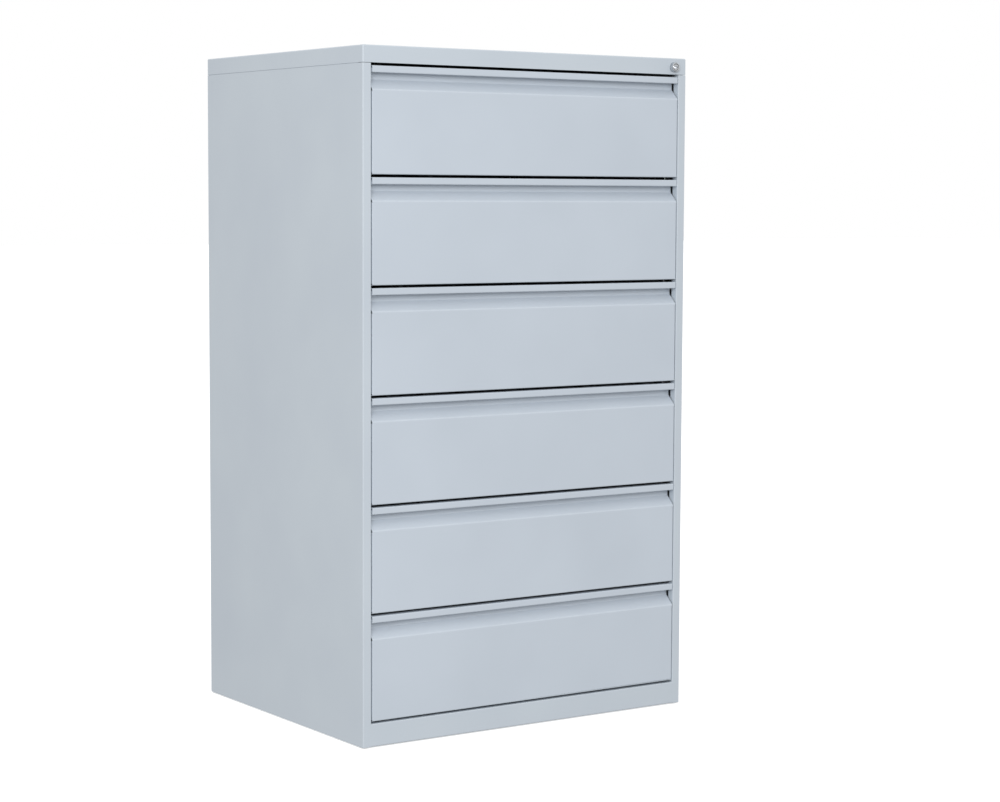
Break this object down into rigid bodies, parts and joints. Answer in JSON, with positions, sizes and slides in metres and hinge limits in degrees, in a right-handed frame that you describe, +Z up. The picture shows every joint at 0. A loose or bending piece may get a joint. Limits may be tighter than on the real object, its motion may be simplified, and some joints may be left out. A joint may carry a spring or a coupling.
{
  "type": "multi-drawer steel file cabinet",
  "caption": "Tall folded-steel file cabinet with a stack of deep drawers on telescopic runners, full-width recessed pulls, a lid-like top cap and a key lock with a full-height lock bar.",
  "frame": {"origin": "middle of the whole object's footprint, on the floor", "axes": "+Z up; drawers open towards -Y; +X is the lock's side"},
  "size_m": [0.76, 0.63, 1.321],
  "materials": {
    "carcass_powder_coat": "satin powder coat, pale blue-grey",
    "drawer_powder_coat": "satin powder coat, pale blue-grey",
    "zinc_plated_steel": "bright zinc plate",
    "nickel_plate": "bright nickel plate",
    "black_nylon": "moulded, matt"
  },
  "bodies": {
    "carcass": {"left_side_panel": "carcass_powder_coat", "right_side_panel": "carcass_powder_coat", "top_cap": "carcass_powder_coat", "top_front_brace": "carcass_powder_coat", "plinth_rail": "carcass_powder_coat", "back_panel": "carcass_powder_coat", "base_pan": "carcass_powder_coat", "left_runner_frame": "zinc_plated_steel", "right_runner_frame": "zinc_plated_steel", "front_left_levelling_foot": "black_nylon", "front_right_levelling_foot": "black_nylon", "rear_left_levelling_foot": "black_nylon", "rear_right_levelling_foot": "black_nylon", "lock_housing": "nickel_plate", "lock_bar_guide": "black_nylon"},
    "lock_cylinder": {"lock_plug": "nickel_plate", "lock_cam": "zinc_plated_steel"},
    "lock_bar": {"lock_bar": "zinc_plated_steel"},
    "drawer_1": {"drawer_1_front": "drawer_powder_coat", "drawer_1_inner_front": "drawer_powder_coat", "drawer_1_tray": "drawer_powder_coat", "drawer_1_left_inner_runner": "zinc_plated_steel", "drawer_1_right_inner_runner": "zinc_plated_steel"},
    "drawer_1_middle_runners": {"drawer_1_left_middle_runner": "zinc_plated_steel", "drawer_1_right_middle_runner": "zinc_plated_steel"},
    "drawer_2": {"drawer_2_front": "drawer_powder_coat", "drawer_2_inner_front": "drawer_powder_coat", "drawer_2_tray": "drawer_powder_coat", "drawer_2_left_inner_runner": "zinc_plated_steel", "drawer_2_right_inner_runner": "zinc_plated_steel"},
    "drawer_2_middle_runners": {"drawer_2_left_middle_runner": "zinc_plated_steel", "drawer_2_right_middle_runner": "zinc_plated_steel"},
    "drawer_3": {"drawer_3_front": "drawer_powder_coat", "drawer_3_inner_front": "drawer_powder_coat", "drawer_3_tray": "drawer_powder_coat", "drawer_3_left_inner_runner": "zinc_plated_steel", "drawer_3_right_inner_runner": "zinc_plated_steel"},
    "drawer_3_middle_runners": {"drawer_3_left_middle_runner": "zinc_plated_steel", "drawer_3_right_middle_runner": "zinc_plated_steel"},
    "drawer_4": {"drawer_4_front": "drawer_powder_coat", "drawer_4_inner_front": "drawer_powder_coat", "drawer_4_tray": "drawer_powder_coat", "drawer_4_left_inner_runner": "zinc_plated_steel", "drawer_4_right_inner_runner": "zinc_plated_steel"},
    "drawer_4_middle_runners": {"drawer_4_left_middle_runner": "zinc_plated_steel", "drawer_4_right_middle_runner": "zinc_plated_steel"},
    "drawer_5": {"drawer_5_front": "drawer_powder_coat", "drawer_5_inner_front": "drawer_powder_coat", "drawer_5_tray": "drawer_powder_coat", "drawer_5_left_inner_runner": "zinc_plated_steel", "drawer_5_right_inner_runner": "zinc_plated_steel"},
    "drawer_5_middle_runners": {"drawer_5_left_middle_runner": "zinc_plated_steel", "drawer_5_right_middle_runner": "zinc_plated_steel"},
    "drawer_6": {"drawer_6_front": "drawer_powder_coat", "drawer_6_inner_front": "drawer_powder_coat", "drawer_6_tray": "drawer_powder_coat", "drawer_6_left_inner_runner": "zinc_plated_steel", "drawer_6_right_inner_runner": "zinc_plated_steel"},
    "drawer_6_middle_runners": {"drawer_6_left_middle_runner": "zinc_plated_steel", "drawer_6_right_middle_runner": "zinc_plated_steel"}
  },
  "joints": [
    {"name": "lock_turn", "type": "hinge", "parent": "carcass", "child": "lock_cylinder", "pos_m": [0.349, -0.307, 1.303], "axis": [0, 1, 0], "range_deg": [0, 90]},
    {"name": "lock_bar_drop", "type": "slide", "parent": "carcass", "child": "lock_bar", "axis": [0, 0, -1], "range_m": [0, 0.017]},
    {"name": "drawer_1_slide", "type": "slide", "parent": "carcass", "child": "drawer_1", "axis": [0, -1, 0], "range_m": [0, 0.52]},
    {"name": "drawer_1_middle_slide", "type": "slide", "parent": "carcass", "child": "drawer_1_middle_runners", "axis": [0, -1, 0], "range_m": [0, 0.26]},
    {"name": "drawer_2_slide", "type": "slide", "parent": "carcass", "child": "drawer_2", "axis": [0, -1, 0], "range_m": [0, 0.52]},
    {"name": "drawer_2_middle_slide", "type": "slide", "parent": "carcass", "child": "drawer_2_middle_runners", "axis": [0, -1, 0], "range_m": [0, 0.26]},
    {"name": "drawer_3_slide", "type": "slide", "parent": "carcass", "child": "drawer_3", "axis": [0, -1, 0], "range_m": [0, 0.52]},
    {"name": "drawer_3_middle_slide", "type": "slide", "parent": "carcass", "child": "drawer_3_middle_runners", "axis": [0, -1, 0], "range_m": [0, 0.26]},
    {"name": "drawer_4_slide", "type": "slide", "parent": "carcass", "child": "drawer_4", "axis": [0, -1, 0], "range_m": [0, 0.52]},
    {"name": "drawer_4_middle_slide", "type": "slide", "parent": "carcass", "child": "drawer_4_middle_runners", "axis": [0, -1, 0], "range_m": [0, 0.26]},
    {"name": "drawer_5_slide", "type": "slide", "parent": "carcass", "child": "drawer_5", "axis": [0, -1, 0], "range_m": [0, 0.52]},
    {"name": "drawer_5_middle_slide", "type": "slide", "parent": "carcass", "child": "drawer_5_middle_runners", "axis": [0, -1, 0], "range_m": [0, 0.26]},
    {"name": "drawer_6_slide", "type": "slide", "parent": "carcass", "child": "drawer_6", "axis": [0, -1, 0], "range_m": [0, 0.52]},
    {"name": "drawer_6_middle_slide", "type": "slide", "parent": "carcass", "child": "drawer_6_middle_runners", "axis": [0, -1, 0], "range_m": [0, 0.26]}
  ],
  "couplings": [
    {"joint": "lock_turn", "follows": "lock_bar_drop", "rad_per_m": 92.39},
    {"joint": "drawer_1_middle_slide", "follows": "drawer_1_slide", "ratio": 0.5},
    {"joint": "drawer_2_middle_slide", "follows": "drawer_2_slide", "ratio": 0.5},
    {"joint": "drawer_3_middle_slide", "follows": "drawer_3_slide", "ratio": 0.5},
    {"joint": "drawer_4_middle_slide", "follows": "drawer_4_slide", "ratio": 0.5},
    {"joint": "drawer_5_middle_slide", "follows": "drawer_5_slide", "ratio": 0.5},
    {"joint": "drawer_6_middle_slide", "follows": "drawer_6_slide", "ratio": 0.5}
  ]
}
